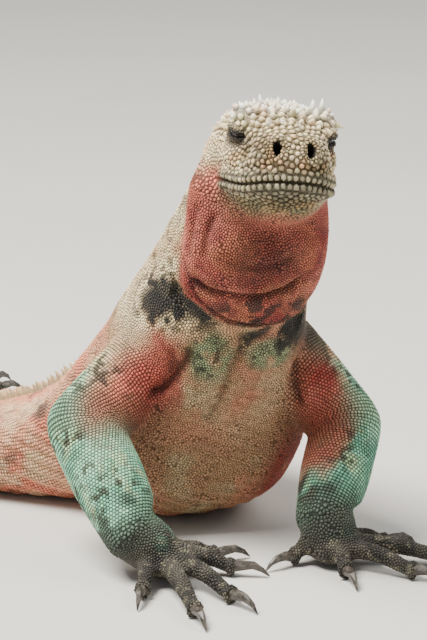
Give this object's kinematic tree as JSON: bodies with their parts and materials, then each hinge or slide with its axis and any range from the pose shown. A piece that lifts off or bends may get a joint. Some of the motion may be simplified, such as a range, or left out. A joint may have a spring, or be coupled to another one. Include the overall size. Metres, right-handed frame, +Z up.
{
  "type": "marine iguana",
  "caption": "Life-size marine iguana in breeding colours, resting on its belly with its chest propped on bent arms, head raised, eyes nearly shut and tail curved behind.",
  "frame": {"origin": "a point on the flat underside of the belly, where it rests on the floor", "axes": "+Z up, the floor is z = 0; the shoulders and the head face -Y, so the animal's right side is at -X and its left side at +X; the tail ends at the largest Y"},
  "size_m": [0.3224, 0.6619, 0.186],
  "materials": {
    "head_skin": "matte, scaly",
    "throat_skin": "matte, scaly",
    "trunk_skin": "matte, scaly",
    "tail_skin": "matte, scaly",
    "arm_skin": "matte, scaly",
    "foot_skin": "matte, scaly",
    "leg_skin": "matte, scaly",
    "claw": "satin",
    "eye": "glossy"
  },
  "bodies": {
    "root": {"head": "head_skin", "neck": "throat_skin", "eye_right": "eye", "eye_left": "eye", "chest": "trunk_skin", "belly": "trunk_skin", "hips": "trunk_skin", "tail_root": "tail_skin", "tail_upper": "tail_skin", "tail_middle": "tail_skin", "tail_lower": "tail_skin", "tail_tip": "tail_skin", "upper_arm_right": "arm_skin", "forearm_right": "arm_skin", "hand_right": "foot_skin", "claw_hand_right_1": "claw", "claw_hand_right_2": "claw", "claw_hand_right_3": "claw", "claw_hand_right_4": "claw", "claw_hand_right_5": "claw", "upper_arm_left": "arm_skin", "forearm_left": "arm_skin", "hand_left": "foot_skin", "claw_hand_left_1": "claw", "claw_hand_left_2": "claw", "claw_hand_left_3": "claw", "claw_hand_left_4": "claw", "claw_hand_left_5": "claw", "thigh_right": "leg_skin", "shank_right": "leg_skin", "foot_right": "foot_skin", "claw_foot_right_1": "claw", "claw_foot_right_2": "claw", "claw_foot_right_3": "claw", "claw_foot_right_4": "claw", "claw_foot_right_5": "claw", "thigh_left": "leg_skin", "shank_left": "leg_skin", "foot_left": "foot_skin", "claw_foot_left_1": "claw", "claw_foot_left_2": "claw", "claw_foot_left_3": "claw", "claw_foot_left_4": "claw", "claw_foot_left_5": "claw"}
  },
  "joints": []
}
